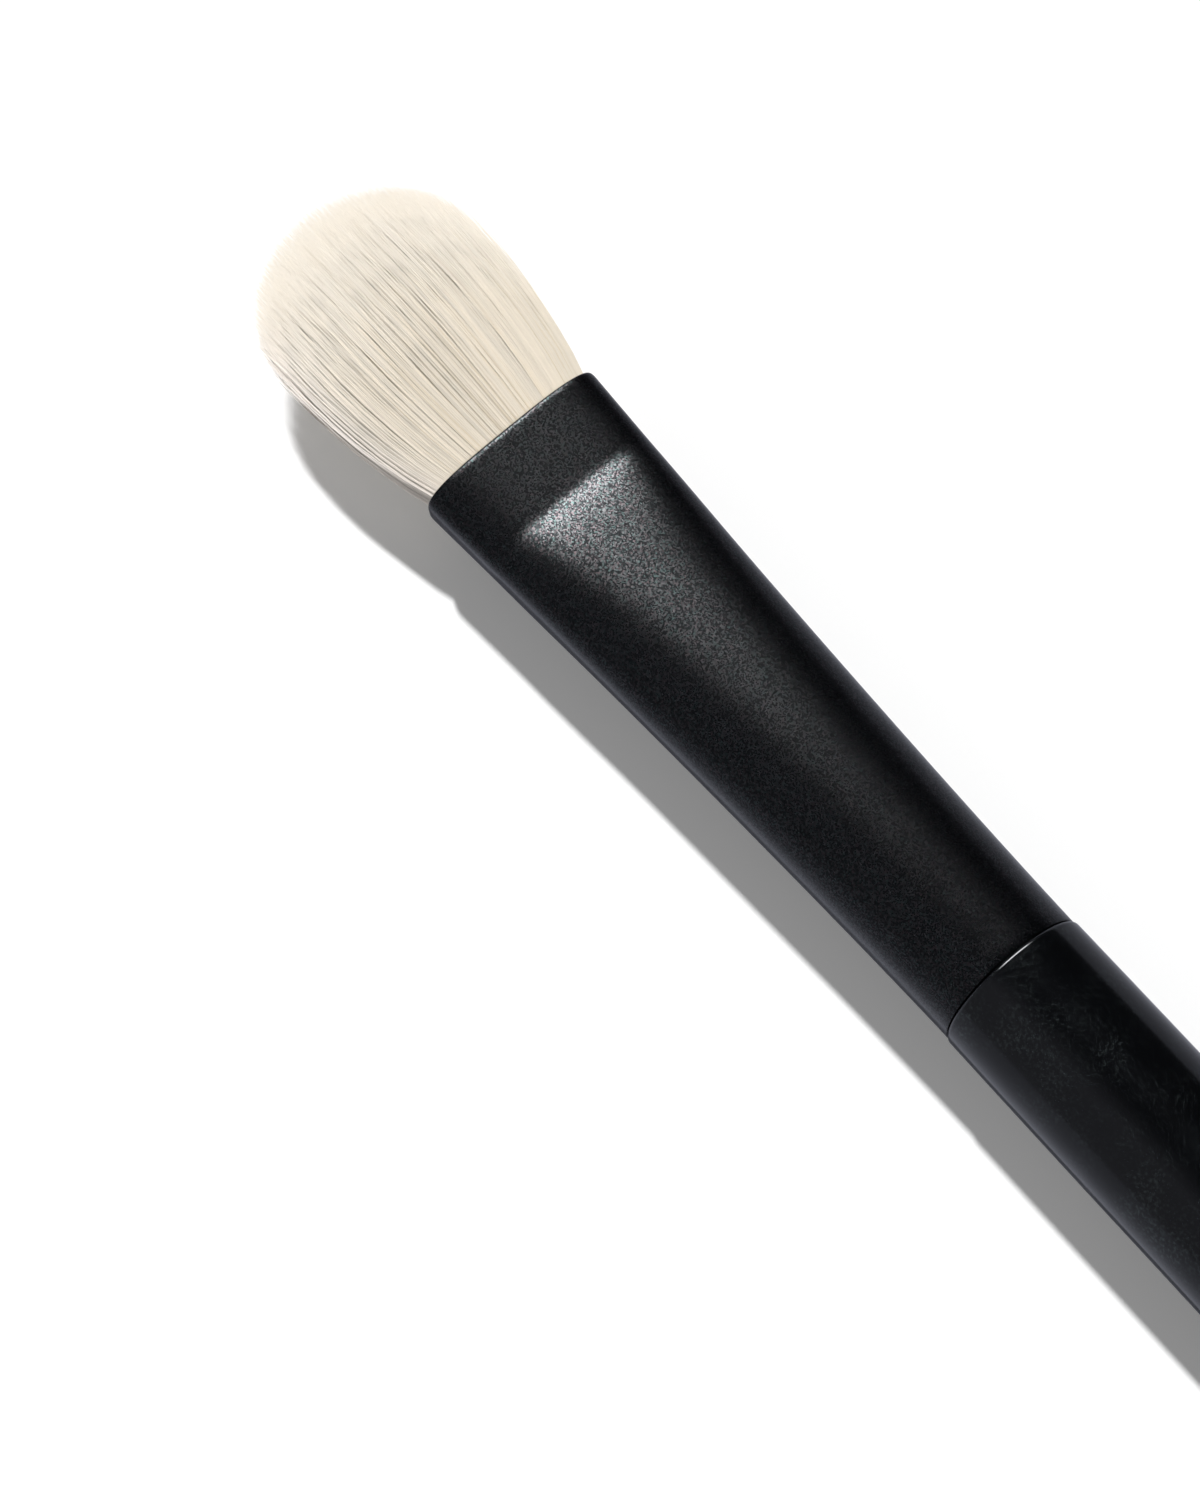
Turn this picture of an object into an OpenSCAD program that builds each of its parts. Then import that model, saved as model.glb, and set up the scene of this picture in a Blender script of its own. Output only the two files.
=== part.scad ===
// Flat eyeshadow brush with a goat hair tuft, a pressed brass ferrule and a turned handle.
// X is the brush's own axis, from the tail to the tip of the hair, and Z is up.
// The flat of the head lies level, so Y runs across it.
// The origin is on the axis, in the middle of the handle's grip land.

/* [Ferrule] */
// Outside diameter of the drawn tube, where it is still round
tube_d = 8.5; // [7.5:0.1:10]
// Wall of the tube
tube_wall = 0.4; // [0.3:0.02:0.5]
// Length of the ferrule from the handle's shoulder to its mouth
ferrule_len = 38.8; // [34:0.2:44]
// Width of the pressed mouth
mouth_w = 11.2; // [10:0.1:12.4]
// Thickness of the pressed mouth
mouth_t = 4.6; // [3.8:0.1:5.6]
// Thickness at the crease behind the flat
crease_t = 4.9; // [4:0.1:6]
// Length of the flat that the press jaws leave behind the mouth
jaw_len = 5; // [3:0.2:7]
// Radius of the round on the mouth's lip
lip_round = 0.3; // [0.1:0.02:0.3]
// Radius of the broken edge where the ferrule meets the handle
edge_break = 0.08; // [0.04:0.01:0.15]

/* [Handle] */
// Length of the handle from its shoulder to the end of its tail
handle_len = 88; // [75:1:150]
// How far the shoulder stands proud of the ferrule
shoulder_step = 0.09; // [0.05:0.01:0.4]
// Radius of the round on the shoulder's edge
shoulder_round = 0.3; // [0.15:0.05:0.6]
// How far the grip land swells beyond the shoulder
grip_swell = 0.04; // [0.02:0.01:0.5]
// Length of the straight grip land
grip_land = 6; // [4:0.5:12]
// Distance from the shoulder to the middle of the grip land
grip_back = 15; // [12:0.5:22]
// Diameter of the tail where its round end starts
tail_d = 3.8; // [3:0.1:6]

/* [Tenon] */
// Length of the tenon inside the ferrule
tenon_len = 11; // [8:0.5:13]
// Chamfer on the tenon's end
tenon_chamfer = 0.5; // [0.2:0.1:1]
// Least gap between tenon and ferrule, which the glue fills
glue_gap = 0.06; // [0.04:0.01:0.12]
// Clearance between solids that touch all round
seat_gap = 0.02; // [0.01:0.01:0.04]

/* [Hair root] */
// Depth of the hair inside the ferrule
hair_in = 12; // [9:0.5:14]
// Clearance between the hair and the ferrule's wall
hair_gap = 0.05; // [0.03:0.01:0.1]
// Length of the resin that locks the roots
resin_len = 4.5; // [3:0.5:6]
// Diameter of the thread that ties the roots
thread_d = 0.3; // [0.2:0.05:0.4]
// Turns of the thread
thread_turns = 5; // [3:1:7]

/* [Hair] */
// Length of the hair beyond the mouth, at the middle of the tuft
hair_out = 16.9; // [13:0.1:21]
// Width of the tuft at its belly
belly_w = 13.4; // [11.5:0.1:16]
// Thickness of the tuft at its belly
belly_t = 5.8; // [4.4:0.1:8]
// Distance from the mouth to the widest place
belly_out = 10; // [8:0.2:12]
// Length of the rounded end of the tuft
tip_len = 6.4; // [4:0.2:9]
// How much shorter the outermost layers of hair are
layer_drop = 1.7; // [0.5:0.1:3]
// How far single locks run long or short
tip_scatter = 0.3; // [0:0.05:0.5]
// Locks across the width of the tuft
lock_columns = 30; // [28:1:34]
// Locks through the thickness of the tuft
lock_rows = 11; // [11:1:12]

/* [Hidden] */
$fn = 96;
// Points round each oval ring
oval_sides = 48;
// Rings along the swelling part of the ferrule, along its flat and round its lip
ramp_rings = 16;
flat_rings = 2;
lip_rings = 4;
// Steps along the handle's taper, its swell, its shoulder's round and its tail's round
taper_steps = 24;
swell_steps = 6;
round_steps = 6;
tail_steps = 10;
// How late along the ferrule its width, its thickness and its squareness come
width_power = 1.5;
thickness_power = 2.2;
square_power = 1.5;
// Exponent of a round section, and of the pressed one, whose faces are flatter than an ellipse's
round_exponent = 2;
mouth_exponent = 2.5;
// Share of the bundle's half width at which its side columns end
side_share = 0.97;
// Shares of a lock's length at which it has rings, and how much of its cell it fills there
ring_shares = [0.36, 0.72];
fill_shares = [0.8, 0.6];
// How far the tip of a lock leans, as a share of its cell
lean_share = 0.25;
// Depth of the grooves between the turns of thread, as a share of its diameter
groove_share = 0.35;
// Seeds of the scatter in length and of the leans
scatter_seed = 7;
lean_seed = 11;

tube_r = tube_d / 2;
seam_x = grip_back;
mouth_x = seam_x + ferrule_len;
ramp_len = ferrule_len - jaw_len;
shoulder_r = tube_r + shoulder_step;
grip_r = shoulder_r + grip_swell;
tail_r = tail_d / 2;
tail_x = seam_x - handle_len;
butt = ferrule_len - hair_in;
resin_back = butt - resin_len;
thread_len = thread_turns * thread_d;
thread_front = butt + thread_d + thread_len;

// Half width, half thickness and squareness of the ferrule, at s from the shoulder
function half_width(s) =
    tube_r + (mouth_w / 2 - tube_r) * pow(s / ferrule_len, width_power);
function half_thickness(s) =
    s < ramp_len
    ? tube_r - (tube_r - crease_t / 2) * pow(s / ramp_len, thickness_power)
    : (crease_t + (mouth_t - crease_t) * (s - ramp_len) / jaw_len) / 2;
function exponent(s) =
    round_exponent + (mouth_exponent - round_exponent) * pow(s / ferrule_len, square_power);

// The bore is straight between these stations, so that what fills it meets its wall
bore_stations = [0, tenon_len, resin_back, butt, ramp_len, ferrule_len];
function bore_width(s) = lookup(s, [for (q = bore_stations) [q, half_width(q) - tube_wall]]);
function bore_thickness(s) = lookup(s, [for (q = bore_stations) [q, half_thickness(q) - tube_wall]]);
function bore_exponent(s) = lookup(s, [for (q = bore_stations) [q, exponent(q)]]);
tenon_r = bore_thickness(tenon_len) - glue_gap;

// How far a round of radius r has drawn in, at d from the edge that it breaks
function drawn_in(r, d) = d >= r ? 0 : r - sqrt(r * r - (r - d) * (r - d));

function signed_power(value, p) = sign(value) * pow(abs(value), p);

function oval(x, w, t, p) = [
    for (i = [0 : oval_sides - 1])
    let (a = 360 * i / oval_sides)
    [x, w * signed_power(cos(a), 2 / p), t * signed_power(sin(a), 2 / p)]
];

// Two triangles for each side between a ring that starts at point a and one that starts at b
function band(a, b, n) = [
    for (i = [0 : n - 1])
    let (j = (i + 1) % n)
    each [[a + i, b + i, a + j], [a + j, b + i, b + j]]
];

// A tube wall: each ring is joined to the next, and the last to the first
module wall_loft(rings) {
    n = len(rings[0]);
    m = len(rings);
    polyhedron(
        points = [for (ring = rings) each ring],
        faces = [for (k = [0 : m - 1]) each band(k * n, (k + 1) % m * n, n)]
    );
}

// A solid: each ring is joined to the next, and both ends are closed
module solid_loft(rings) {
    n = len(rings[0]);
    last = (len(rings) - 1) * n;
    polyhedron(
        points = [for (ring = rings) each ring],
        faces = [
            for (k = [0 : len(rings) - 2]) each band(k * n, (k + 1) * n, n),
            for (i = [1 : n - 2]) each [[0, i, i + 1], [last, last + i + 1, last + i]]
        ]
    );
}

// The drawn tube, pressed from round to a flat oval with a crease across each face
module ferrule() {
    stations = [
        0, edge_break,
        for (i = [1 : ramp_rings]) ramp_len * i / ramp_rings,
        for (i = [1 : flat_rings]) ramp_len + (jaw_len - lip_round) * i / flat_rings,
        for (i = [1 : lip_rings]) ferrule_len - lip_round * (1 - sin(90 * i / lip_rings))
    ];
    outside = [
        for (s = stations)
        let (inset = drawn_in(edge_break, s) + drawn_in(lip_round, ferrule_len - s))
        oval(seam_x + s, half_width(s) - inset, half_thickness(s) - inset, exponent(s))
    ];
    bore = [
        for (i = [len(bore_stations) - 1 : -1 : 0])
        let (s = bore_stations[i])
        oval(seam_x + s, bore_width(s), bore_thickness(s), bore_exponent(s))
    ];
    color([0.06, 0.065, 0.07]) wall_loft([each outside, each bore]);
}

// Turned wood: tenon, rounded shoulder, swell, grip land, long taper and round tail
module handle() {
    tenon = [
        [0, seam_x + tenon_len],
        [tenon_r - tenon_chamfer, seam_x + tenon_len],
        [tenon_r, seam_x + tenon_len - tenon_chamfer],
        [tenon_r, seam_x]
    ];
    shoulder = [
        for (i = [0 : round_steps])
        let (a = 90 * i / round_steps)
        [shoulder_r - shoulder_round * (1 - sin(a)), seam_x - shoulder_round * (1 - cos(a))]
    ];
    swell_len = grip_back - shoulder_round - grip_land / 2;
    swell = [
        for (i = [1 : swell_steps])
        let (a = 90 * i / swell_steps)
        [shoulder_r + grip_swell * sin(a), grip_land / 2 + swell_len * (1 - i / swell_steps)]
    ];
    taper_end = tail_x + tail_r;
    taper_len = -grip_land / 2 - taper_end;
    taper = [
        for (i = [0 : taper_steps])
        let (a = 90 * i / taper_steps)
        [tail_r + (grip_r - tail_r) * cos(a), -grip_land / 2 - taper_len * i / taper_steps]
    ];
    tail = [
        for (i = [1 : tail_steps])
        let (a = 90 * i / tail_steps)
        [tail_r * cos(a), taper_end - tail_r * sin(a)]
    ];
    color([0.03, 0.03, 0.035])
        rotate([0, 90, 0])
            rotate_extrude()
                polygon([each tenon, each shoulder, each swell, each taper, each tail]);
}

// The film of glue that fills the room between the tenon and the ferrule's bore
module tenon_glue() {
    tenon_skin = (tenon_r + seat_gap) / cos(180 / oval_sides);
    color([0.72, 0.62, 0.4])
        wall_loft([
            for (s = [0, tenon_len])
                oval(seam_x + s, bore_width(s), bore_thickness(s), bore_exponent(s)),
            for (s = [tenon_len, 0])
                oval(seam_x + s, tenon_skin, tenon_skin, round_exponent)
        ]);
}

// The resin poured behind the hair, which fills the bore
module root_resin() {
    color([0.75, 0.5, 0.2])
        solid_loft([
            for (s = [resin_back, butt])
                oval(seam_x + s, bore_width(s), bore_thickness(s), bore_exponent(s))
        ]);
}

// How far the bundle is drawn in by its thread, at s from the shoulder
function tied_in(s) = hair_gap + (s <= thread_front ? thread_d + seat_gap : 0);

// Touching turns of thread round the roots, as one grooved band
module root_thread() {
    back = thread_front - thread_len;
    halves = 2 * thread_turns;
    outside = [
        for (i = [0 : halves])
        let (
            s = back + thread_len * i / halves,
            groove = i % 2 == 0 ? groove_share * thread_d : 0,
            inset = hair_gap + groove
        )
        oval(seam_x + s, bore_width(s) - inset, bore_thickness(s) - inset, bore_exponent(s))
    ];
    inside = [
        for (s = [thread_front, back])
        let (inset = hair_gap + thread_d)
        oval(seam_x + s, bore_width(s) - inset, bore_thickness(s) - inset, bore_exponent(s))
    ];
    color([0.86, 0.84, 0.78]) wall_loft([each outside, each inside]);
}

// The bundle's outline at s is an oval whose sides end square, cut into a grid of cells.
// Here u and v run from -1 to 1 across the width and through the thickness.
function cell_point(s, u, v) =
    let (
        inset = tied_in(s),
        p = bore_exponent(s),
        y = side_share * u,
        height = pow(1 - pow(abs(y), p), 1 / p)
    )
    [
        seam_x + s,
        (bore_width(s) - inset) * y,
        (bore_thickness(s) - inset) * v * height
    ];

// How much wider and thicker the tuft is at a distance beyond the mouth than in it
function spread_width(out) =
    let (root = (bore_width(ferrule_len) - hair_gap) * side_share)
    1 + (belly_w / 2 / root - 1) * sin(90 * min(out / belly_out, 1));
function spread_thickness(out) =
    let (root = bore_thickness(ferrule_len) - hair_gap)
    1 + (belly_t / 2 / root - 1) * sin(180 * min(out / hair_out, 1));

function flow_point(u, v, out) =
    let (root = cell_point(ferrule_len, u, v))
    [root.x + out, root.y * spread_width(out), root.z * spread_thickness(out)];

// Length of the lock in the cell at u and v, rounded across the width and through the layers
function lock_len(u, v) =
    hair_out - tip_len * (1 - sqrt(1 - u * u)) - layer_drop * v * v;

// Goat hair: a glued bundle in the ferrule, whose front face is all locks.
// Each lock rises from its whole cell and gets thinner, so none crosses another.
module hair_tuft() {
    nu = lock_columns;
    nv = lock_rows;
    us = [for (j = [0 : nu]) 2 * j / nu - 1];
    vs = [for (k = [0 : nv]) 2 * k / nv - 1];
    scatter = rands(-1, 1, nu * nv, scatter_seed);
    leans = rands(-1, 1, 2 * nu * nv, lean_seed);

    rim = [
        for (j = [0 : nu]) [j, 0],
        for (k = [1 : nv]) [nu, k],
        for (j = [nu - 1 : -1 : 0]) [j, nv],
        for (k = [nv - 1 : -1 : 1]) [0, k]
    ];
    rim_n = len(rim);
    depths = [butt, thread_front, thread_front + seat_gap, ramp_len];
    bundle = [
        for (s = depths, c = rim) cell_point(s, us[c[0]], vs[c[1]]),
        cell_point(butt, 0, 0)
    ];
    butt_middle = len(bundle) - 1;
    grid_start = len(bundle);
    grid = [for (u = us, v = vs) cell_point(ferrule_len, u, v)];
    function grid_id(j, k) = grid_start + j * (nv + 1) + k;
    rim_ids = [for (c = rim) grid_id(c[0], c[1])];

    lock_start = grid_start + len(grid);
    corners = [[0, 0], [1, 0], [1, 1], [0, 1]];
    rings = len(ring_shares);
    lock_size = 4 * rings + 1;
    locks = [
        for (j = [0 : nu - 1], k = [0 : nv - 1])
        let (
            id = j * nv + k,
            um = (us[j] + us[j + 1]) / 2,
            vm = (vs[k] + vs[k + 1]) / 2,
            out = lock_len(um, vm) + tip_scatter * scatter[id]
        )
        each [
            for (r = [0 : rings - 1], c = corners)
            let (
                u = um + (us[j + c[0]] - um) * fill_shares[r],
                v = vm + (vs[k + c[1]] - vm) * fill_shares[r]
            )
            flow_point(u, v, out * ring_shares[r]),
            flow_point(
                um + lean_share * leans[2 * id] / nu,
                vm + lean_share * leans[2 * id + 1] / nv,
                out
            )
        ]
    ];

    last = (len(depths) - 1) * rim_n;
    butt_faces = [for (i = [0 : rim_n - 1]) [i, (i + 1) % rim_n, butt_middle]];
    bundle_faces = [
        for (d = [0 : len(depths) - 2]) each band(d * rim_n, (d + 1) * rim_n, rim_n),
        for (i = [0 : rim_n - 1])
        let (n = (i + 1) % rim_n)
        each [[last + i, rim_ids[i], last + n], [last + n, rim_ids[i], rim_ids[n]]]
    ];
    lock_faces = [
        for (j = [0 : nu - 1], k = [0 : nv - 1])
        let (
            first = lock_start + (j * nv + k) * lock_size,
            top = first + 4 * (rings - 1)
        )
        each [
            for (i = [0 : 3])
            let (
                n = (i + 1) % 4,
                a = grid_id(j + corners[i][0], k + corners[i][1]),
                b = grid_id(j + corners[n][0], k + corners[n][1])
            )
            each [[a, first + i, b], [b, first + i, first + n]],
            for (r = [1 : rings - 1]) each band(first + 4 * (r - 1), first + 4 * r, 4),
            for (i = [0 : 3]) [top + i, top + 4, top + (i + 1) % 4]
        ]
    ];
    color([0.9, 0.86, 0.78])
        polyhedron(
            points = [each bundle, each grid, each locks],
            faces = [each butt_faces, each bundle_faces, each lock_faces]
        );
}

handle();
ferrule();
hair_tuft();
root_thread();
root_resin();
tenon_glue();
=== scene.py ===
import math

import bmesh
import bpy
import numpy as np
from mathutils import Matrix, Vector


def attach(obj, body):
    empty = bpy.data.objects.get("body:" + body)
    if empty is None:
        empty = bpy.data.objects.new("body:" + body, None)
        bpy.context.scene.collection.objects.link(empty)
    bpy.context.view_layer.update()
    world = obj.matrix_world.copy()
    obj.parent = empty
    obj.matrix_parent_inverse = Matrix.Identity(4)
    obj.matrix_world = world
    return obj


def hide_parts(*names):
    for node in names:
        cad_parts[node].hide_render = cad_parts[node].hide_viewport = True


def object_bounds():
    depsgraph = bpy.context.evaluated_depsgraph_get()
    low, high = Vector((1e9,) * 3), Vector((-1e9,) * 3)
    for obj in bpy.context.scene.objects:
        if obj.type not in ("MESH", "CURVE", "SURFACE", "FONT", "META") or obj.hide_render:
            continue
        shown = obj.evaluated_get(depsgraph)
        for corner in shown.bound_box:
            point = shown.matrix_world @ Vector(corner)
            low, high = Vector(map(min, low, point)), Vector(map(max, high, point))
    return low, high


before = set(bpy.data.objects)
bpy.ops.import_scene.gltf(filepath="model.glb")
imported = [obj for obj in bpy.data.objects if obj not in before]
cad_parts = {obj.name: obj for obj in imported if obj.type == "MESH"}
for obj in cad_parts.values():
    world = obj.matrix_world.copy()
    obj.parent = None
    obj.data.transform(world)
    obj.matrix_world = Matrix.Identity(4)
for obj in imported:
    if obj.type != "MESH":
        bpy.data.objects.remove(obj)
cad_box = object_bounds()

# The camera stands above the brush and a little towards its handle, a hand's length and a half away.
# It is rolled so that the brush runs from the lower right corner to the upper left. Sizes and places
# are in millimetres, here and further on, and times MM they are in metres.
MM = 0.001
CAMERA_PLACE = Vector((-55.84, 58.25, 290.0))
CAMERA_RIGHT = Vector((-0.64476, -0.76068, -0.0751))
CAMERA_UP = Vector((0.70156, -0.62791, 0.33696))
LENS = 146.46
SENSOR = 36
CLIP_NEAR = 10
CLIP_FAR = 100000

camera = bpy.data.objects.new("camera", bpy.data.cameras.new("camera"))
camera.data.lens = LENS
camera.data.sensor_width = SENSOR
camera.data.clip_start = CLIP_NEAR * MM
camera.data.clip_end = CLIP_FAR * MM
turned = Matrix((CAMERA_RIGHT, CAMERA_UP, CAMERA_RIGHT.cross(CAMERA_UP))).transposed()
camera.matrix_world = Matrix.Translation(CAMERA_PLACE * MM) @ turned.to_4x4()
bpy.context.scene.collection.objects.link(camera)
bpy.context.scene.camera = camera
bpy.context.scene.view_settings.view_transform = "Standard"

# The floor is a sheet of matt white board that runs far past the brush, which lies on it.
# In gloss its colour is painted dimmer than it is, and darker still on the side of the lamp: a painted
# reflection of shade, as if a dark card stood there.
# Only the camera sees the small lift that takes it to white round the shadow.
FLOOR_REACH = 30000
FLOOR_SIDES = 64
FLOOR_GAP = 0.01
FLOOR_WHITE = (0.95, 0.95, 0.95)
FLOOR_DIMMED_REFLECTION = (0.64, 0.66, 0.77)
FLOOR_GLOSS_SHADE = (0.42, 0.43, 0.50)
GLOSS_SHADE_EDGE = (-12, 4)
LIFT_WHITE = (1, 1, 1)
FLOOR_LIFT = 0.09


class Wire:
    """A socket that gives a value. Arithmetic on it adds Math nodes."""

    def __init__(self, shader, socket):
        self.shader = shader
        self.socket = socket

    def math(self, operation, *values):
        return self.shader.node("Math", {"operation": operation}, dict(enumerate(values)))

    def __add__(self, other):
        return self.math("ADD", self, other)

    def __radd__(self, other):
        return self.math("ADD", other, self)

    def __sub__(self, other):
        return self.math("SUBTRACT", self, other)

    def __rsub__(self, other):
        return self.math("SUBTRACT", other, self)

    def __mul__(self, other):
        return self.math("MULTIPLY", self, other)

    def __rmul__(self, other):
        return self.math("MULTIPLY", other, self)

    def smooth(self, low, high):
        """0 below low, 1 above high and a soft step between them."""
        settings = {"interpolation_type": "SMOOTHSTEP"}
        return self.shader.node("MapRange", settings, {"Value": self, "From Min": low, "From Max": high})


class Shader:
    """The nodes of one finish, and the one way to add a node to them."""

    def __init__(self, owner):
        owner.use_nodes = True
        self.tree = owner.node_tree
        self.tree.nodes.clear()

    def node(self, kind, settings, sockets, out=0):
        """Adds a node, gives its sockets their values or wires, and returns one of its outputs.

        The setting called stops holds a ramp's (place, colour) pairs.
        """
        made = self.tree.nodes.new("ShaderNode" + kind)
        for name, value in settings.items():
            if name == "stops":
                ramp = made.color_ramp
                while len(ramp.elements) < len(value):
                    ramp.elements.new(1)
                for stop, (place, colour) in zip(ramp.elements, value):
                    stop.position = place
                    stop.color = (*colour, 1)
            else:
                setattr(made, name, value)
        for name, value in sockets.items():
            if isinstance(value, Wire):
                self.tree.links.new(value.socket, made.inputs[name])
            elif isinstance(value, tuple) and made.inputs[name].type == "RGBA":
                made.inputs[name].default_value = (*value, 1)
            else:
                made.inputs[name].default_value = value
        return Wire(self, made.outputs[out]) if len(made.outputs) else None

    def blend(self, share, first, second):
        """A colour between two others."""
        return self.node("Mix", {"data_type": "RGBA"}, {0: share, 6: first, 7: second}, out=2)

    def matt(self, colour):
        """A surface with no gloss."""
        return self.node("BsdfPrincipled", {}, {
            "Base Color": colour, "Roughness": 1.0, "Specular IOR Level": 0.0})

    def place(self):
        """Where the surface is, in the brush's own frame."""
        return self.node("TexCoord", {}, {}, out="Object")

    def part(self, vector, axis):
        """The X, Y or Z of a vector."""
        return self.node("SeparateXYZ", {}, {0: vector}, out=axis)

    def attribute(self, label):
        """The number that each point of the mesh carries under a label."""
        return self.node("Attribute", {"attribute_name": label}, {}, out="Fac")

    def ray(self, kind):
        """1 for a ray of that kind and 0 for any other."""
        return self.node("LightPath", {}, {}, out=kind)

    def vector(self, operation, first, second=(0, 0, 0)):
        """Arithmetic on vectors and colours. SCALE takes a number as its second value."""
        index = 3 if operation == "SCALE" else 1
        return self.node("VectorMath", {"operation": operation}, {0: first, index: second})


mesh = bmesh.new()
bmesh.ops.create_circle(mesh, cap_ends=True, segments=FLOOR_SIDES, radius=FLOOR_REACH * MM)
bmesh.ops.translate(mesh, verts=mesh.verts, vec=(0, 0, cad_box[0].z - FLOOR_GAP * MM))
floor = bpy.data.objects.new("floor", bpy.data.meshes.new("floor"))
mesh.to_mesh(floor.data)
mesh.free()
bpy.context.scene.collection.objects.link(floor)
board = bpy.data.materials.new("white_board")
paint = Shader(board)
# Painted reflection: rays that mirror the floor see it dimmed, and darker still on the lamp's side.
beyond_gloss_shade = paint.part(paint.place(), "Y").smooth(*(edge * MM for edge in GLOSS_SHADE_EDGE))
shown = paint.blend(beyond_gloss_shade, FLOOR_GLOSS_SHADE, FLOOR_DIMMED_REFLECTION)
colour = paint.blend(paint.ray("Is Glossy Ray"), FLOOR_WHITE, shown)
strength = paint.ray("Is Camera Ray") * FLOOR_LIFT
lift = paint.node("Emission", {}, {"Color": LIFT_WHITE, "Strength": strength})
lifted = paint.node("AddShader", {}, {0: paint.matt(colour), 1: lift})
paint.node("OutputMaterial", {}, {"Surface": lifted})
floor.data.materials.append(board)

# One lamp stands high on the mouth's side and casts the shadow. In gloss, the room shows it as a
# soft box, and is dark on its side and pale on the other. Seen directly, the room is white.
LAMP_WAY = Vector((0.563, -0.266, 0.782))
LAMP_POWER = 3.4
LAMP_ANGLE = 3.2
ROOM_DARK = (0.12, 0.12, 0.12)
ROOM_PALE = (0.68, 0.68, 0.68)
ROOM_TURN = (0.2, 0.9)
ROOM_SEEN = (1, 1, 1)
GLOSS_TINT = (0.95, 0.96, 1.09)
GLOSS_STOPS = ((-1.0, 0.05), (-0.66, 0.06), (-0.47, 0.11), (-0.26, 0.12), (0.0, 0.07), (0.17, 0.13),
               (0.37, 0.32), (0.57, 0.56), (1.0, 0.5))
BOX_TINT = (1, 1, 1.03)
BOX_GLOW = 45.0
BOX_FROM_X = (0.52, 0.67)
BOX_TO_X = (0.74, 0.86)
BOX_FROM_Y = (-0.68, -0.44)
BOX_TO_Y = (-0.04, 0.18)
BOX_FROM_Z = (0.36, 0.52)

lamp = bpy.data.objects.new("lamp", bpy.data.lights.new("lamp", "SUN"))
lamp.data.energy = LAMP_POWER
lamp.data.angle = math.radians(LAMP_ANGLE)
lamp.rotation_euler = LAMP_WAY.to_track_quat("Z", "Y").to_euler()
lamp.visible_glossy = False
bpy.context.scene.collection.objects.link(lamp)

room = bpy.data.worlds.new("room")
bpy.context.scene.world = room
paint = Shader(room)
way = paint.node("TexCoord", {}, {}, out="Generated")
ahead, across, above = (paint.part(way, axis) for axis in "XYZ")
stops = [(y / 2 + 0.5, tuple(level * tint for tint in GLOSS_TINT)) for y, level in GLOSS_STOPS]
gloss = paint.node("ValToRGB", {"stops": stops}, {"Fac": across * 0.5 + 0.5}, out="Color")
box = ahead.smooth(*BOX_FROM_X) * (1 - ahead.smooth(*BOX_TO_X)) * across.smooth(*BOX_FROM_Y)
box = box * (1 - across.smooth(*BOX_TO_Y)) * above.smooth(*BOX_FROM_Z)
gloss = paint.vector("ADD", gloss, paint.vector("SCALE", BOX_TINT, box * BOX_GLOW))
dull = paint.blend(across.smooth(*ROOM_TURN), ROOM_DARK, ROOM_PALE)
sky = paint.blend(paint.ray("Is Glossy Ray"), dull, gloss)
sky = paint.blend(paint.ray("Is Camera Ray"), sky, ROOM_SEEN)
light = paint.node("Background", {}, {"Color": sky, "Strength": 1.0})
paint.node("OutputWorld", {}, {"Surface": light})

# The ferrule is a seamless brass tube. It is drawn round, then its front is pressed to a flat oval
# in jaws that leave a crease across each face. It is finished in satin black with a fine fleck.
TUBE_R = 4.25
TUBE_WALL = 0.4
SEAM_X = 15.0
FERRULE_LEN = 38.8
MOUTH_X = SEAM_X + FERRULE_LEN
MOUTH_W = 5.6
MOUTH_T = 2.3
WIDEN_POWER = 1.5
JAW_LEN = 5.0
RAMP_LEN = FERRULE_LEN - JAW_LEN
CREASE_T = 2.38
CREASE_SOFT = 0.03
FALL_POWER = 2.2
PINCH = 0.07
PINCH_REACH = 1.2
SQUARE_GAIN = 0.5
SQUARE_POWER = 1.5
PRESSED_SQUARE = 0.6
PRESSED_FROM = 29.0
PRESSED_OVER = 1.6
EDGE_BREAK = 0.08
LIP_LEN = 0.5
LIP_ROUND = 0.13
LIP_POWER = 0.67
TUBE_SIDES = 192
EDGE_RINGS = 3
RAMP_FROM = 0.5
RAMP_RINGS = 60
FINE_BEHIND = 1.4
FINE_AHEAD = 0.9
FINE_RINGS = 24
RING_ROOM = 0.1
FLAT_RINGS = 12
LIP_RINGS = 10
BORE_RINGS = 40
MERGED = 1e-5


def half_width(s):
    """Half the ferrule's width at a distance s from the seam."""
    return TUBE_R + (MOUTH_W - TUBE_R) * (max(s, 0) / FERRULE_LEN) ** WIDEN_POWER


def half_thickness(s):
    """The ramp and the pressed flat, joined by a short soft bend."""
    along = (max(s, 0) / RAMP_LEN) ** FALL_POWER
    fall = (1 - PINCH) * along + PINCH * math.exp((s - RAMP_LEN) / PINCH_REACH)
    ramp = TUBE_R - (TUBE_R - CREASE_T) * fall
    flat = CREASE_T + (MOUTH_T - CREASE_T) * (s - RAMP_LEN) / JAW_LEN
    return CREASE_SOFT * np.logaddexp(ramp / CREASE_SOFT, flat / CREASE_SOFT)


def squareness(s):
    """The power of the section's outline: 2 for the round tube, and more where it is pressed."""
    pressed = 1 / (1 + math.exp((PRESSED_FROM - s) / PRESSED_OVER))
    return 2 + SQUARE_GAIN * (max(s, 0) / FERRULE_LEN) ** SQUARE_POWER + PRESSED_SQUARE * pressed


def raised(value, power):
    """A power that keeps the sign."""
    return math.copysign(abs(value) ** power, value)


def oval(angle, s, inset):
    """The point at an angle on the pressed section at s, that far inside its outline."""
    power = 2 / squareness(s)
    y, z = raised(math.cos(angle), power), raised(math.sin(angle), power)
    return (half_width(s) - inset) * y, (half_thickness(s) - inset) * z


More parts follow.
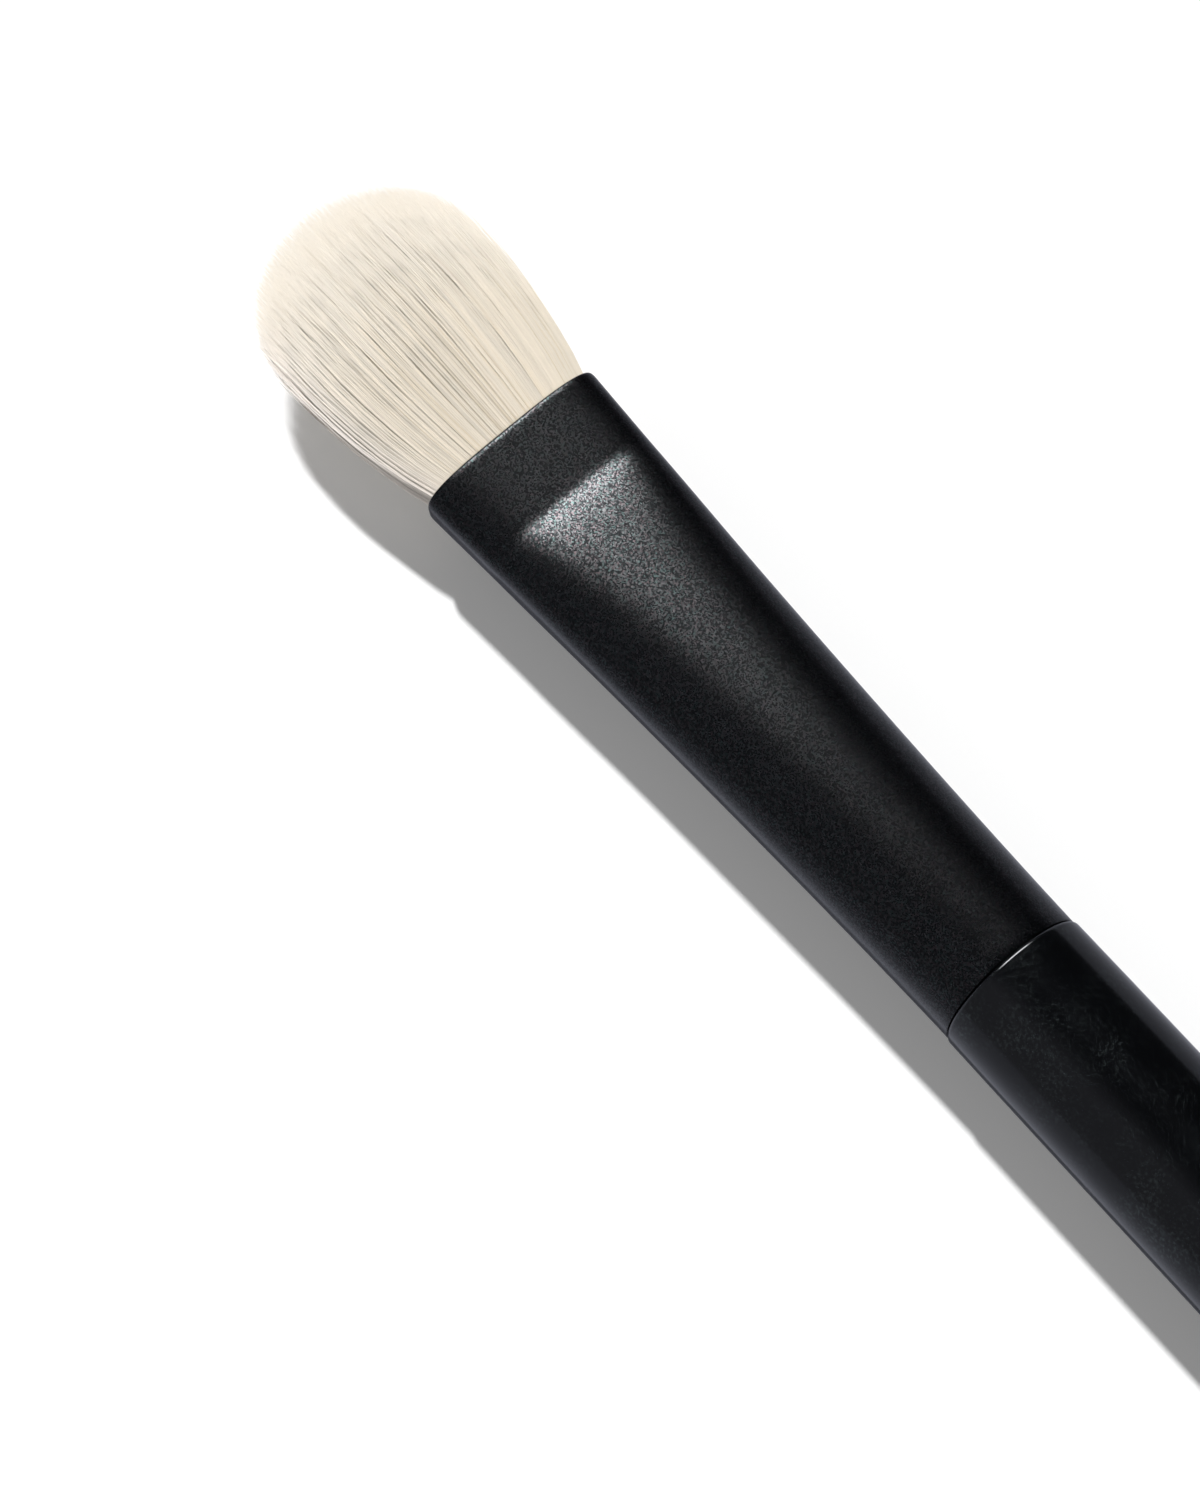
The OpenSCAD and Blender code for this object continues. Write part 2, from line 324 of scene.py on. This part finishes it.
def spin_round(profile, sides):
    """A bmesh turned round the brush's axis from (distance along it, radius) pairs."""
    made = bmesh.new()
    points = [made.verts.new((x, 0, r)) for x, r in profile]
    edges = [made.edges.new(pair) for pair in zip(points, points[1:])]
    bmesh.ops.spin(made, geom=points + edges, cent=(0, 0, 0), axis=(1, 0, 0), dvec=(0, 0, 0),
                   angle=math.tau, steps=sides, use_merge=True, use_duplicate=False)
    bmesh.ops.remove_doubles(made, verts=made.verts, dist=MERGED)
    bmesh.ops.recalc_face_normals(made, faces=made.faces)
    return made


def quarter(steps):
    """The angles of a quarter turn in steps, without its start."""
    return [math.pi / 2 * i / steps for i in range(1, steps + 1)]


outside = [(EDGE_BREAK * (1 - math.cos(t)), TUBE_R - EDGE_BREAK * (1 - math.sin(t)))
           for t in [0, *quarter(EDGE_RINGS)]]
outside += [(s, TUBE_R) for s in np.linspace(RAMP_FROM, RAMP_LEN - FINE_BEHIND - RING_ROOM, RAMP_RINGS)]
outside += [(RAMP_LEN + s, TUBE_R) for s in np.linspace(-FINE_BEHIND, FINE_AHEAD, FINE_RINGS)]
outside += [(s, TUBE_R) for s in np.linspace(RAMP_LEN + FINE_AHEAD + RING_ROOM, FERRULE_LEN - LIP_LEN,
                                             FLAT_RINGS)]
lip = [(FERRULE_LEN - LIP_LEN * (1 - math.sin(t) ** LIP_POWER),
        TUBE_R - LIP_ROUND * (1 - math.cos(t) ** LIP_POWER)) for t in quarter(LIP_RINGS)]
bore = [(s, TUBE_R - TUBE_WALL) for s in np.linspace(FERRULE_LEN, 0, BORE_RINGS)]
tube = spin_round([*outside, *lip, *bore, outside[0]], TUBE_SIDES)
for point in tube.verts:
    s, y, z = point.co
    point.co = (SEAM_X + s, *oval(math.atan2(z, y), s, TUBE_R - math.hypot(y, z)))

COAT_BLACK = (0.0016, 0.0024, 0.0030)
COAT_ROUGHNESS = 0.42
COAT_IOR = 1.35
FLECK_SIZE = 0.074
FLECK_TILT = 0.05
FLECK_MIDDLE = (0.5, 0.5, 0.5)
FLECK_ROUGHNESS = 0.24
FLECK_COVER = 0.86
FLECK_DULL = (0.0052, 0.0058, 0.0062)
FLECK_BRIGHT = (0.031, 0.031, 0.031)
BRIGHT_SPAN = (0.2, 1.0)
FLECK_PLAIN = (1, 1, 1)
FLECK_PINK = (1.0, 0.77, 0.79)
PINK_SPAN = (0.0, 0.45)
FLECK_TEAL = (0.64, 1.0, 0.92)
TEAL_SPAN = (0.55, 1.0)
LIP_DULL = 0.55
LIP_DULL_FROM = 0.25
LIP_DULL_TO = 0.08

coat = bpy.data.materials.new("satin_black_with_fleck")
paint = Shader(coat)
spot = paint.place()
cells = paint.node("TexVoronoi", {}, {"Vector": spot, "Scale": 1 / (FLECK_SIZE * MM)}, out="Color")
lean = paint.vector("SCALE", paint.vector("SUBTRACT", cells, FLECK_MIDDLE), FLECK_TILT)
level = paint.node("NewGeometry", {}, {}, out="Normal")
tilted = paint.vector("NORMALIZE", paint.vector("ADD", level, lean))
bright = paint.node("SeparateColor", {}, {0: cells}, out="Red")
hue = paint.node("SeparateColor", {}, {0: cells}, out="Green")
tint = paint.blend(hue.smooth(*PINK_SPAN), FLECK_PINK, FLECK_PLAIN)
tint = paint.blend(hue.smooth(*TEAL_SPAN), tint, FLECK_TEAL)
glint = paint.blend(bright.smooth(*BRIGHT_SPAN), FLECK_DULL, FLECK_BRIGHT)
on_lip = paint.part(spot, "X").smooth((MOUTH_X - LIP_DULL_FROM) * MM, (MOUTH_X - LIP_DULL_TO) * MM)
glint = paint.vector("SCALE", paint.vector("MULTIPLY", glint, tint), 1 - LIP_DULL * on_lip)
skin = paint.node("BsdfPrincipled", {}, {
    "Base Color": COAT_BLACK, "Roughness": COAT_ROUGHNESS, "IOR": COAT_IOR, "Normal": level})
flecks = paint.node("BsdfPrincipled", {}, {
    "Base Color": glint, "Metallic": 1.0, "Roughness": FLECK_ROUGHNESS, "Normal": tilted})
mixed = paint.node("MixShader", {}, {0: FLECK_COVER, 1: skin, 2: flecks})
paint.node("OutputMaterial", {}, {"Surface": mixed})


def dress(piece, finish, node):
    """Gives a piece its finish. A new piece also rides on the brush, in place of a solid."""
    piece.data.materials.clear()
    piece.data.materials.append(finish)
    if piece.name != node:
        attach(piece, "root")
        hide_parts(node)


def new_piece(name, mesh, finish, node):
    """A piece of the brush from a bmesh in millimetres."""
    bmesh.ops.scale(mesh, verts=mesh.verts, vec=(MM, MM, MM))
    piece = bpy.data.objects.new(name, bpy.data.meshes.new(name))
    mesh.to_mesh(piece.data)
    mesh.free()
    piece.data.shade_smooth()
    bpy.context.scene.collection.objects.link(piece)
    dress(piece, finish, node)


new_piece("pressed_ferrule", tube, coat, "ferrule")

# The hair is goat hair, bundled with its natural tips forward, tied, and glued at its roots.
# It leaves the mouth as a flat sheaf that swells to a belly and ends in a rounded, feathery edge.
# Every hair has a place (a, b) in the bundle, -1 to 1 across it, which it keeps along its length.
HAIR_OUT = 16.9
BELLY_W = 6.6
BELLY_T = 2.9
BELLY_OUT = 10.0
BELLY_RISE = 0.85
TIP_LEN = 6.4
LAYER_DROP = 1.7
SHEAF_SQUARE = 3.0
SIDE_THIN = 0.5
SIDE_THIN_OVER = 4.0
HAIR_IN = 12.0
HAIR_GAP = 0.05
TIED_GAP = 0.37
TIED_LEN = 1.8
HAIR_R = 0.036
HAIR_PITCH = 0.079
HAIR_SCATTER = 0.02
SPARE_COLUMNS = 2
SPARE_ROWS = 4
COVER_HAIRS = 1700
COVER_RIM = (0.85, 0.998)
HAIR_SEED = 5
OUTSIDE_POINTS = 8
HAIR_SIDES = 4

root_w = half_width(FERRULE_LEN) - TUBE_WALL - HAIR_GAP
root_t = half_thickness(FERRULE_LEN) - TUBE_WALL - HAIR_GAP


def hair_length(a, b):
    """How far the hair at a place in the bundle reaches out of the mouth."""
    return HAIR_OUT - TIP_LEN * (1 - np.sqrt(1 - np.clip(a, -1, 1) ** 2)) - LAYER_DROP * b**2


def swell(out):
    """How much wider and thicker than at the mouth the sheaf is, at a distance out of it."""
    rise = np.minimum(out / BELLY_OUT, 1) ** BELLY_RISE
    wide = 1 + (BELLY_W / root_w - 1) * np.sin(math.pi / 2 * rise)
    thick = 1 + (BELLY_T / root_t - 1) * np.sin(math.pi * np.minimum(out / HAIR_OUT, 1))
    return wide, thick


# The hairs stand close-packed in the bundle, and more of them cover its rim.
dice = np.random.default_rng(HAIR_SEED)
reach_w, reach_t = int(root_w / HAIR_PITCH) + SPARE_COLUMNS, int(root_t / HAIR_PITCH) + SPARE_ROWS
columns, rows = np.meshgrid(np.arange(-reach_w, reach_w), np.arange(-reach_t, reach_t), indexing="ij")
a = HAIR_PITCH * (columns + 0.5 * (rows % 2)) + dice.normal(0, HAIR_SCATTER, rows.shape)
b = HAIR_PITCH * math.sqrt(0.75) * rows + dice.normal(0, HAIR_SCATTER, rows.shape)
cover_a = dice.uniform(-1, 1, COVER_HAIRS)
cover_b = (1 - np.abs(cover_a) ** SHEAF_SQUARE) ** (1 / SHEAF_SQUARE) * dice.choice((-1, 1), COVER_HAIRS)
rim = dice.uniform(*COVER_RIM, COVER_HAIRS)
a = np.append(a.ravel() / root_w, cover_a * rim)
b = np.append(b.ravel() / root_t, cover_b * rim)
held = np.abs(a) ** SHEAF_SQUARE + np.abs(b) ** SHEAF_SQUARE < 1
a, b = a[held], b[held]
order = np.argsort(b, kind="stable")
a, b = a[order], b[order]
hairs = len(a)

# Neighbours cling together in clumps, each of which is tightest somewhere along its length.
CLUMPS = 700
CLUMP_PULL = 0.24
CLUMP_EDGE = 0.8
CLUMP_PLACE = (0.2, 0.7)
CLUMP_SPAN = 0.17
CLUMP_RISE = 6

centre = dice.choice(hairs, CLUMPS, replace=False)
apart = (a[:, None] - a[centre]) ** 2 * root_w**2 + (b[:, None] - b[centre]) ** 2 * root_t**2
nearest = np.argmin(apart, axis=1)
clump = centre[nearest]
pull = dice.uniform(0.0, CLUMP_PULL, CLUMPS)[nearest] * (1 - CLUMP_EDGE * np.abs(a) ** 3)
tightest = dice.uniform(*CLUMP_PLACE, CLUMPS)[nearest][:, None]

# Some hairs end short of the others, all of them sway a little, and a few stray from the sheaf.
SHORT_SHARE = 0.3
SHORT_MEAN = 1.2
EVEN_MEAN = 0.3
SHORT_MOST = 4
TIP_OVER = 0.4
SWAY_ACROSS = 0.07
SWAY_UP = 0.05
SWAY_WAVE = (9, 16)
TIP_SCATTER = 0.1
STRAY_SHARE = 0.012
STRAY_SCATTER = 0.4
STRAY_ROOM = 0.15
STRAY_MOST = BELLY_W + STRAY_ROOM

chance = dice.random(hairs)
much, little = dice.exponential(SHORT_MEAN, hairs), dice.exponential(EVEN_MEAN, hairs)
short = np.where(chance < SHORT_SHARE, much, little)
length = hair_length(a, b) + TIP_OVER - np.minimum(short, SHORT_MOST)

root_s = FERRULE_LEN - HAIR_IN
inside = ((root_s, TIED_GAP), (root_s + TIED_LEN, TIED_GAP), (RAMP_LEN, HAIR_GAP))
share = np.concatenate([np.zeros(len(inside)), np.linspace(0, 1, OUTSIDE_POINTS)])
points_per_hair = len(share)
out = share * length[:, None]
draw = pull[:, None] * np.exp(-(((share - tightest) / CLUMP_SPAN) ** 2)) * np.minimum(share * CLUMP_RISE, 1)
wide, thick = swell(out)
hair_x = MOUTH_X + out
hair_y = (a[:, None] + (a[clump] - a)[:, None] * draw) * root_w * wide
hair_z = (b[:, None] + (b[clump] - b)[:, None] * draw) * root_t * thick
hair_z *= 1 - SIDE_THIN * a[:, None] ** 4 * np.minimum(out / SIDE_THIN_OVER, 1)
for sway, grid in ((SWAY_ACROSS, hair_y), (SWAY_UP, hair_z)):
    phase = dice.uniform(0, math.tau, hairs)[:, None]
    wave = dice.uniform(*SWAY_WAVE, hairs)[:, None]
    grid += sway * share * np.sin(phase + math.tau * out / wave)
    grid += share**2 * dice.normal(0, TIP_SCATTER, hairs)[:, None]
stray = dice.random(hairs) < STRAY_SHARE
hair_y += np.where(stray, dice.normal(0, STRAY_SCATTER, hairs), 0)[:, None] * share**2
hair_y = np.clip(hair_y, -STRAY_MOST, STRAY_MOST)
for i, (s, hold) in enumerate(inside):
    hair_x[:, i] = SEAM_X + s
    hair_y[:, i] = a * (half_width(s) - TUBE_WALL - hold)
    hair_z[:, i] = b * (half_thickness(s) - TUBE_WALL - hold)
paths = np.stack([hair_x, hair_y, hair_z], axis=2)

# Light passes among loose hairs, so their normals lean towards the outside of the whole sheaf.
LEAN_POWER = 1.5
LEAN_RAISED = 0.3
LEAN_LEAST = 0.15
LEAN_ROOT = 0.04
LEAN_TIP = 0.2
LEAN_ACROSS = 0.2
SOFTENED = 0.65

lean_y = np.sign(a) * np.abs(a) ** LEAN_POWER / root_w
upper = b + LEAN_RAISED
lean_z = np.sign(upper) * (np.abs(upper) ** LEAN_POWER + LEAN_LEAST) / root_t
lean_x = np.broadcast_to(LEAN_ROOT + LEAN_TIP * share**2, out.shape)
outward = np.stack([lean_x, LEAN_ACROSS * lean_y[:, None] / wide, lean_z[:, None] / thick], axis=2)
outward /= np.linalg.norm(outward, axis=2, keepdims=True) + 1e-6

TAPER_FROM = 0.5
TAPER_LOSS = 0.9
TAPER_POWER = 1.5
taper = 1 - TAPER_LOSS * (np.maximum(share - TAPER_FROM, 0) / (1 - TAPER_FROM)) ** TAPER_POWER
shade = dice.random(hairs)
lightness = dice.random(CLUMPS)[nearest]

HAIR_CREAM = (0.865, 0.795, 0.685)
HAIR_PALE = (0.92, 0.865, 0.78)
HAIR_FLANK_PAINTED_LIGHT = (0.98, 0.92, 0.87)
HAIR_TAUPE = (0.72, 0.62, 0.46)
HAIR_BROWN = (0.40, 0.32, 0.20)
TAUPE_SPAN = (0.8, 1.0)
TAUPE_SHARE = 0.7
PALE_SPAN = (0.35, 0.95)
PALE_LEAST = 0.7
PALE_BUNCH = 0.3
BROWN_REACH = 0.22
SIDE_POWER = 8
HAIR_THROUGH = 0.2
HAIR_THIN = 0.75
TIP_THIN = 0.15
TIP_SPAN = (0.4, 1.0)

goat_hair = bpy.data.materials.new("goat_hair")
paint = Shader(goat_hair)
own, bunch, far, side = (paint.attribute(label) for label in ("shade", "bunch", "along", "side"))
taupe = own.smooth(*TAUPE_SPAN) * (1 - far) * TAUPE_SHARE
# The hairs grow paler towards their tips: partly their own paler ends, partly painted light for the light
# that shines through thin tips.
pale = far.smooth(*PALE_SPAN) * (PALE_LEAST + PALE_BUNCH * bunch)
brown = 1 - paint.part(paint.place(), "X").smooth(MOUTH_X * MM, (MOUTH_X + BROWN_REACH) * MM)
colour = HAIR_CREAM
through = paint.node("BsdfTranslucent", {}, {"Color": HAIR_CREAM})
# The flank away from the lamp (side) is painted paler: painted light, standing in for light that passes
# through the hairs there.
for cover, hue in ((taupe, HAIR_TAUPE), (pale, HAIR_PALE), (side, HAIR_FLANK_PAINTED_LIGHT), (brown, HAIR_BROWN)):
    colour = paint.blend(cover, colour, hue)
    covering = paint.node("BsdfTranslucent", {}, {"Color": hue})
    through = paint.node("MixShader", {}, {0: cover, 1: through, 2: covering})
mixed = paint.node("MixShader", {}, {0: HAIR_THROUGH, 1: paint.matt(colour), 2: through})
clear = paint.node("BsdfTransparent", {}, {})
thin = HAIR_THIN + TIP_THIN * far.smooth(*TIP_SPAN)
mixed = paint.node("MixShader", {}, {0: paint.ray("Is Shadow Ray") * thin, 1: mixed, 2: clear})
paint.node("OutputMaterial", {}, {"Surface": mixed})


def hair_layer(name, chosen):
    """A layer of the sheaf: one tapering strand of HAIR_SIDES sides for each chosen hair."""
    curve = bpy.data.curves.new(name, "CURVE")
    curve.dimensions = "3D"
    curve.bevel_depth = HAIR_R * MM
    curve.bevel_resolution = 0
    for k in chosen:
        strand = curve.splines.new("POLY")
        strand.points.add(points_per_hair - 1)
        places = np.ones((points_per_hair, 4))
        places[:, :3] = paths[k] * MM
        strand.points.foreach_set("co", places.ravel())
        strand.points.foreach_set("radius", taper)
    drawn = bpy.data.objects.new(name + "_line", curve)
    bpy.context.scene.collection.objects.link(drawn)
    bpy.context.view_layer.update()
    shape = bpy.data.meshes.new_from_object(drawn.evaluated_get(bpy.context.evaluated_depsgraph_get()))
    bpy.data.objects.remove(drawn)
    piece = bpy.data.objects.new(name, shape)
    bpy.context.scene.collection.objects.link(piece)
    shape.shade_smooth()
    corners = points_per_hair * HAIR_SIDES
    # The side label marks the flank away from the lamp, which the finish paints paler as painted light.
    for label, values in (
        ("shade", np.repeat(shade[chosen], corners)),
        ("bunch", np.repeat(lightness[chosen], corners)),
        ("side", np.repeat(np.maximum(a[chosen], 0) ** SIDE_POWER, corners)),
        ("along", np.tile(np.repeat(share, HAIR_SIDES), len(chosen))),
    ):
        layer = shape.attributes.new(label, "FLOAT", "POINT")
        layer.data.foreach_set("value", values.astype(np.float32))
    normals = np.empty(len(shape.vertices) * 3, np.float32)
    shape.vertices.foreach_get("normal", normals)
    normals = normals.reshape(-1, 3) * (1 - SOFTENED)
    normals += np.repeat(outward[chosen].reshape(-1, 3), HAIR_SIDES, axis=0) * SOFTENED
    normals /= np.linalg.norm(normals, axis=1, keepdims=True) + 1e-9
    shape.normals_split_custom_set_from_vertices(normals)
    dress(piece, goat_hair, "hair_tuft")


LAYERS = ("hair_under", "hair_low", "hair_high", "hair_upper")
for name, chosen in zip(LAYERS, np.array_split(np.arange(hairs), len(LAYERS))):
    hair_layer(name, chosen)

# The middle of the sheaf is packed so tight that no light passes, so it is one solid under the hairs.
# It has their cream, with fine darker streaks along it painted as the shade between hairs, and starts just
# inside the mouth.
PACK_SIDES = 96
PACK_STEPS = 24
PACK_RIM = 0.93
PACK_TAPER = 0.2
PACK_SIDE = 0.84
PACK_SQUARE = 0.8
PACK_END = 0.82
PACK_BACK = 0.1

steps = [i / PACK_STEPS for i in range(PACK_STEPS + 1)]
profile = [(PACK_END * step, PACK_RIM - PACK_TAPER * step**2) for step in steps]
middle = spin_round([(0, 0), *profile, (PACK_END, 0)], PACK_SIDES)
for point in middle.verts:
    part, y, z = point.co
    rim, angle = math.hypot(y, z), math.atan2(z, y)
    across = PACK_SIDE * rim * raised(math.cos(angle), PACK_SQUARE)
    up = rim * raised(math.sin(angle), PACK_SQUARE)
    reach = part * hair_length(across, up)
    wide, thick = swell(reach)
    point.co = (MOUTH_X - PACK_BACK + reach, across * root_w * wide, up * root_t * thick)

STREAK_STRETCH = (0.04, 1, 1)
STREAK_SCALE = 9000.0
STREAK_DETAIL = 2.0
STREAK_SPAN = (0.35, 0.65)
STREAK_SHADE = (0.76, 0.67, 0.53)

packed = bpy.data.materials.new("packed_hair")
paint = Shader(packed)
lengthwise = paint.vector("MULTIPLY", paint.place(), STREAK_STRETCH)
streak = paint.node("TexNoise", {}, {
    "Vector": lengthwise, "Scale": STREAK_SCALE, "Detail": STREAK_DETAIL}, out="Fac")
# Painted shade: the darker streaks stand for the shade in the gaps between hairs.
colour = paint.blend(streak.smooth(*STREAK_SPAN), STREAK_SHADE, HAIR_CREAM)
paint.node("OutputMaterial", {}, {"Surface": paint.matt(colour)})
new_piece("hair_middle", middle, packed, "hair_tuft")

# A waxed thread ties the roots before the bundle goes into the ferrule. It is five touching turns
# of twisted cream cotton, pulled tight.
THREAD_GROOVE_SHADE = (0.52, 0.47, 0.38)
THREAD_LIGHT = (0.80, 0.76, 0.66)
THREAD_ROUGHNESS = 0.7
TWIST_SCALE = 1900.0
TWIST_DISTORTION = 1.2
TWIST_DETAIL = 1.0
TWIST_STRENGTH = 0.5
TWIST_DEPTH = 0.03

thread = bpy.data.materials.new("waxed_thread")
paint = Shader(thread)
twist = paint.node("TexWave", {"bands_direction": "DIAGONAL"}, {
    "Vector": paint.place(), "Scale": TWIST_SCALE, "Distortion": TWIST_DISTORTION,
    "Detail": TWIST_DETAIL}, out="Fac")
# The colour is painted darker in the grooves of the twist, as painted shade, following the same pattern as
# the bump.
colour = paint.blend(twist, THREAD_GROOVE_SHADE, THREAD_LIGHT)
ridge = paint.node("Bump", {}, {
    "Height": twist, "Strength": TWIST_STRENGTH, "Distance": TWIST_DEPTH * MM})
cotton = paint.node("BsdfPrincipled", {}, {
    "Base Color": colour, "Roughness": THREAD_ROUGHNESS, "Normal": ridge})
paint.node("OutputMaterial", {}, {"Surface": cotton})
dress(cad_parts["root_thread"], thread, "root_thread")

# Clear amber resin is poured behind the roots and sets round them, which locks the hair in the ferrule.
# It sets glossy, a little cloudy where it soaks into the ends.
RESIN_DARK = (0.42, 0.20, 0.05)
RESIN_LIGHT = (0.60, 0.34, 0.11)
RESIN_SPAN = (0.35, 0.7)
RESIN_SCALE = 900.0
RESIN_DETAIL = 4.0
RESIN_ROUGHNESS = 0.12
RESIN_COAT = 0.6

resin = bpy.data.materials.new("set_resin")
paint = Shader(resin)
cloud = paint.node("TexNoise", {}, {
    "Vector": paint.place(), "Scale": RESIN_SCALE, "Detail": RESIN_DETAIL}, out="Fac")
colour = paint.blend(cloud.smooth(*RESIN_SPAN), RESIN_DARK, RESIN_LIGHT)
amber = paint.node("BsdfPrincipled", {}, {
    "Base Color": colour, "Roughness": RESIN_ROUGHNESS, "Coat Weight": RESIN_COAT})
paint.node("OutputMaterial", {}, {"Surface": amber})
dress(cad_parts["root_resin"], resin, "root_resin")

# A film of wood glue fills the room between the handle's tenon and the ferrule's bore.
# It dries to a dull, uneven tan.
GLUE_DARK = (0.50, 0.40, 0.22)
GLUE_LIGHT = (0.68, 0.59, 0.38)
GLUE_SCALE = 1500.0
GLUE_DETAIL = 3.0
GLUE_ROUGHNESS = 0.45

glue = bpy.data.materials.new("wood_glue")
paint = Shader(glue)
cloud = paint.node("TexNoise", {}, {
    "Vector": paint.place(), "Scale": GLUE_SCALE, "Detail": GLUE_DETAIL}, out="Fac")
colour = paint.blend(cloud, GLUE_DARK, GLUE_LIGHT)
film = paint.node("BsdfPrincipled", {}, {"Base Color": colour, "Roughness": GLUE_ROUGHNESS})
paint.node("OutputMaterial", {}, {"Surface": film})
dress(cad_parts["tenon_glue"], glue, "tenon_glue")

# The handle is one piece of birch, turned to a tenon, a rounded shoulder and a long taper, then
# dipped in black lacquer and polished. Its tenon is glued into the ferrule.
HANDLE_LEN = 88
TENON_LEN = 11.0
TENON_CHAMFER = 0.5
GLUE_GAP = 0.06
TENON_R = half_thickness(TENON_LEN) - TUBE_WALL - GLUE_GAP
SHOULDER_STEP = 0.09
SHOULDER_R = TUBE_R + SHOULDER_STEP
SHOULDER_ROUND = 0.3
GRIP_SWELL = 0.04
GRIP_R = SHOULDER_R + GRIP_SWELL
GRIP_HALF = 3.0
SWELL_LEN = SEAM_X - SHOULDER_ROUND - GRIP_HALF
TAIL_R = 1.9
TAIL_X = SEAM_X - HANDLE_LEN
TAPER_END = TAIL_X + TAIL_R
TAPER_LEN = -GRIP_HALF - TAPER_END
HANDLE_SIDES = 160
SHOULDER_RINGS = 8
SWELL_RINGS = 16
TAPER_RINGS = 96
TAIL_RINGS = 16

profile = [(SEAM_X + TENON_LEN, 0), (SEAM_X + TENON_LEN, TENON_R - TENON_CHAMFER),
           (SEAM_X + TENON_LEN - TENON_CHAMFER, TENON_R), (SEAM_X, TENON_R)]
profile += [(SEAM_X - SHOULDER_ROUND * (1 - math.cos(t)), SHOULDER_R - SHOULDER_ROUND * (1 - math.sin(t)))
            for t in [0, *quarter(SHOULDER_RINGS)]]
profile += [(GRIP_HALF + SWELL_LEN * (1 - t / (math.pi / 2)), SHOULDER_R + GRIP_SWELL * math.sin(t))
            for t in quarter(SWELL_RINGS)]
profile += [(-GRIP_HALF - TAPER_LEN * t / (math.pi / 2), TAIL_R + (GRIP_R - TAIL_R) * math.cos(t))
            for t in [0, *quarter(TAPER_RINGS)]]
profile += [(TAPER_END - TAIL_R * math.sin(t), TAIL_R * math.cos(t)) for t in quarter(TAIL_RINGS)]
turned_wood = spin_round(profile, HANDLE_SIDES)

LACQUER_BLACK = (0.0010, 0.0012, 0.0016)
LACQUER_HAZE = (0.004, 0.0048, 0.005)
LACQUER_ROUGHNESS = 0.14
HAZE_ROUGHNESS = 0.08
LACQUER_IOR = 1.38
MOTTLE_SCALE = 5200.0
MOTTLE_DETAIL = 3.0
MOTTLE_ROUGHNESS = 0.6
MOTTLE_SPAN = (0.45, 0.75)
BROAD_SCALE = 420.0
BROAD_DETAIL = 2.0
BROAD_SPAN = (0.3, 0.7)
SPECK_DULL = (0.004, 0.005, 0.005)
SPECK_BRIGHT = (0.085, 0.11, 0.10)
SPECK_ROUGHNESS = 0.27
SPECK_COVER = 0.3

lacquer = bpy.data.materials.new("black_lacquer")
paint = Shader(lacquer)
spot = paint.place()
mottle = paint.node("TexNoise", {}, {
    "Vector": spot, "Scale": MOTTLE_SCALE, "Detail": MOTTLE_DETAIL, "Roughness": MOTTLE_ROUGHNESS}, out="Fac")
broad = paint.node("TexNoise", {}, {"Vector": spot, "Scale": BROAD_SCALE, "Detail": BROAD_DETAIL}, out="Fac")
haze = mottle.smooth(*MOTTLE_SPAN) * broad.smooth(*BROAD_SPAN)
gloss = paint.node("BsdfPrincipled", {}, {
    "Base Color": paint.blend(haze, LACQUER_BLACK, LACQUER_HAZE),
    "Roughness": LACQUER_ROUGHNESS + HAZE_ROUGHNESS * haze, "IOR": LACQUER_IOR})
specks = paint.node("BsdfPrincipled", {}, {
    "Base Color": paint.blend(haze, SPECK_DULL, SPECK_BRIGHT), "Metallic": 1.0,
    "Roughness": SPECK_ROUGHNESS})
mixed = paint.node("MixShader", {}, {0: SPECK_COVER, 1: gloss, 2: specks})
paint.node("OutputMaterial", {}, {"Surface": mixed})
new_piece("turned_handle", turned_wood, lacquer, "handle")
